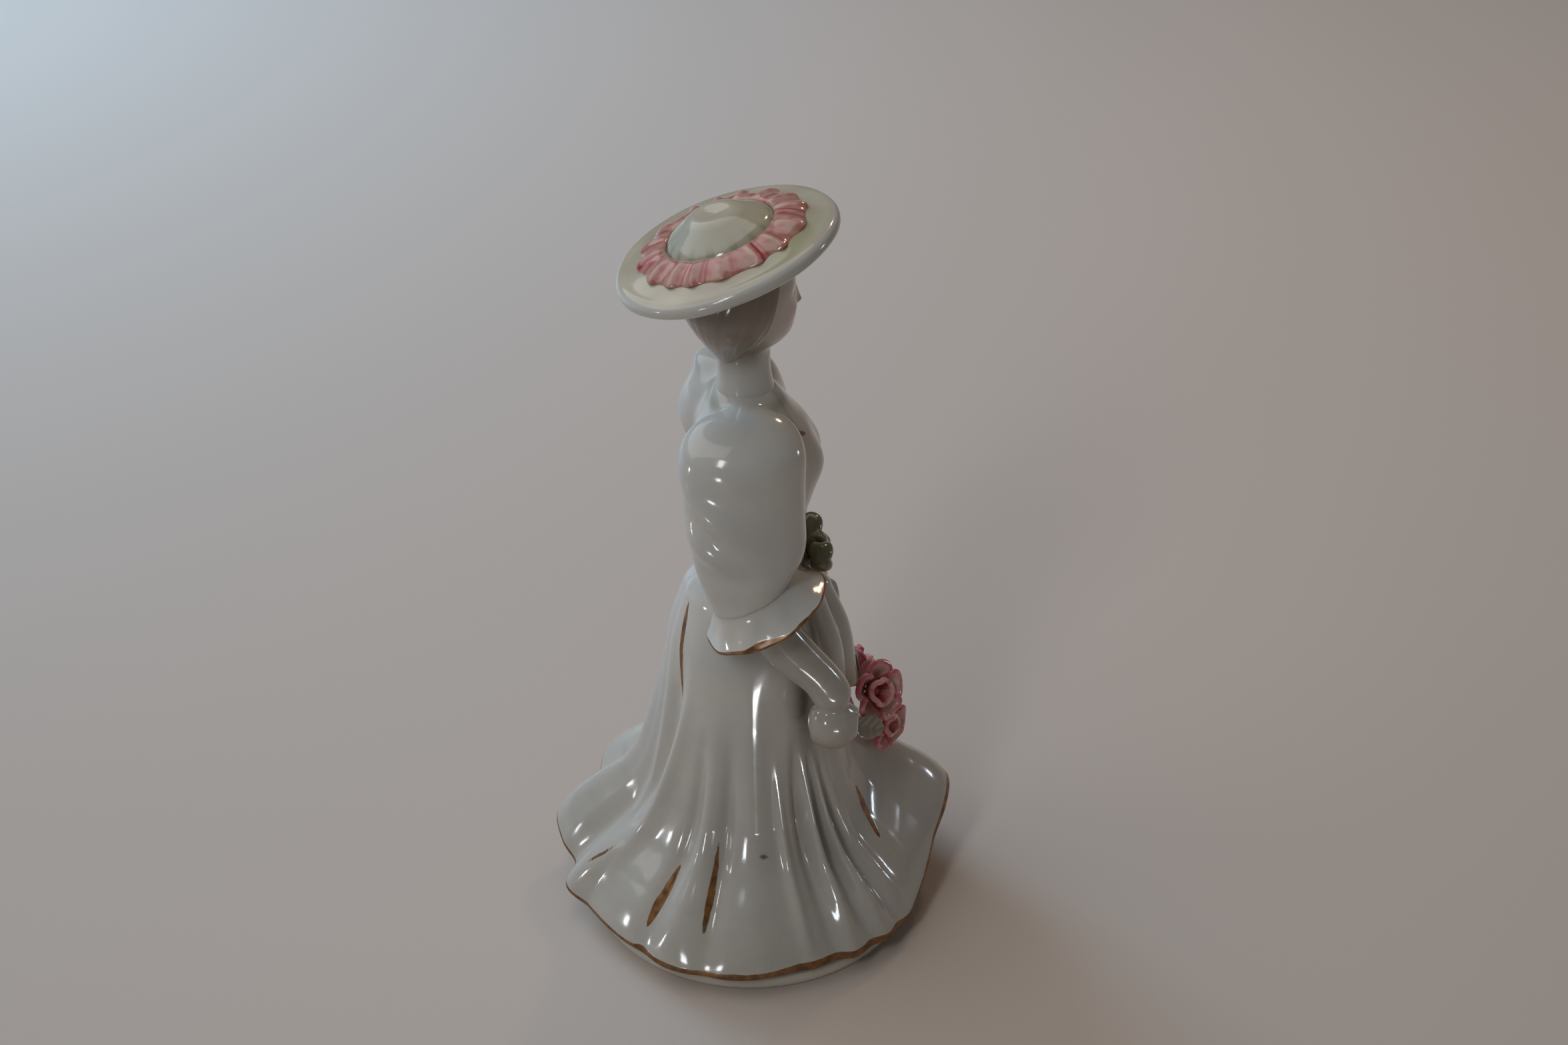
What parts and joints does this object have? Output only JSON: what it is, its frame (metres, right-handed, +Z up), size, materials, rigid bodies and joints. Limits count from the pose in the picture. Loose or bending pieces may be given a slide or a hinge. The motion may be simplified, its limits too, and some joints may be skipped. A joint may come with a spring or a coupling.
{
  "type": "porcelain figurine",
  "caption": "Glazed porcelain lady in a long flared gown with puffed sleeves, a tilted broad hat trimmed with petals, a waist bow and a small bouquet.",
  "frame": {"origin": "middle of the figure's outline, on the plane that the foot stands on", "axes": "+Z up, the lady faces -Y, her left hand is on +X"},
  "size_m": [0.092, 0.1038, 0.1956],
  "materials": {
    "white_glaze": "glossy clear glaze over white porcelain, with painted gold lustre lines along hems and folds",
    "bisque_foot": "glazed white wall, wiped bare and matt on the ring that it stands on",
    "skin_glaze": "glossy clear glaze over white porcelain, with a faint pink blush",
    "hair_glaze": "glossy glaze over a thin taupe wash that pools in the strands",
    "hat_glaze": "glossy glaze over a cloudy pale olive wash, nearly white under the brim",
    "pink_glaze": "glossy glaze over pink brushed from crimson edges to cream middles",
    "green_glaze": "glossy glaze over dark olive green with brown-gold edges"
  },
  "bodies": {
    "root": {"bodice": "white_glaze", "bouquet_stems": "green_glaze", "bow_knot": "green_glaze", "front_flower_bud": "pink_glaze", "front_flower_petal_1": "pink_glaze", "front_flower_petal_2": "pink_glaze", "front_flower_petal_3": "pink_glaze", "front_flower_petal_4": "pink_glaze", "front_flower_petal_5": "pink_glaze", "hair": "hair_glaze", "hat_brim": "hat_glaze", "hat_crown": "hat_glaze", "hat_ruffle": "pink_glaze", "head": "skin_glaze", "left_bow_loop": "green_glaze", "left_cuff": "white_glaze", "left_forearm": "skin_glaze", "left_leaf": "green_glaze", "left_sash_tail": "white_glaze", "left_sleeve": "white_glaze", "lower_flower_bud": "pink_glaze", "lower_flower_petal_1": "pink_glaze", "lower_flower_petal_2": "pink_glaze", "lower_flower_petal_3": "pink_glaze", "lower_flower_petal_4": "pink_glaze", "lower_flower_petal_5": "pink_glaze", "middle_flower_bud": "pink_glaze", "middle_flower_petal_1": "pink_glaze", "middle_flower_petal_2": "pink_glaze", "middle_flower_petal_3": "pink_glaze", "middle_flower_petal_4": "pink_glaze", "middle_flower_petal_5": "pink_glaze", "right_bow_loop": "green_glaze", "right_cuff": "white_glaze", "right_forearm": "skin_glaze", "right_leaf": "green_glaze", "right_sash_tail": "white_glaze", "right_sleeve": "white_glaze", "skirt": "white_glaze", "underskirt_foot": "bisque_foot", "upper_flower_bud": "pink_glaze", "upper_flower_petal_1": "pink_glaze", "upper_flower_petal_2": "pink_glaze", "upper_flower_petal_3": "pink_glaze", "upper_flower_petal_4": "pink_glaze", "upper_flower_petal_5": "pink_glaze", "waist_sash": "green_glaze"}
  },
  "joints": []
}
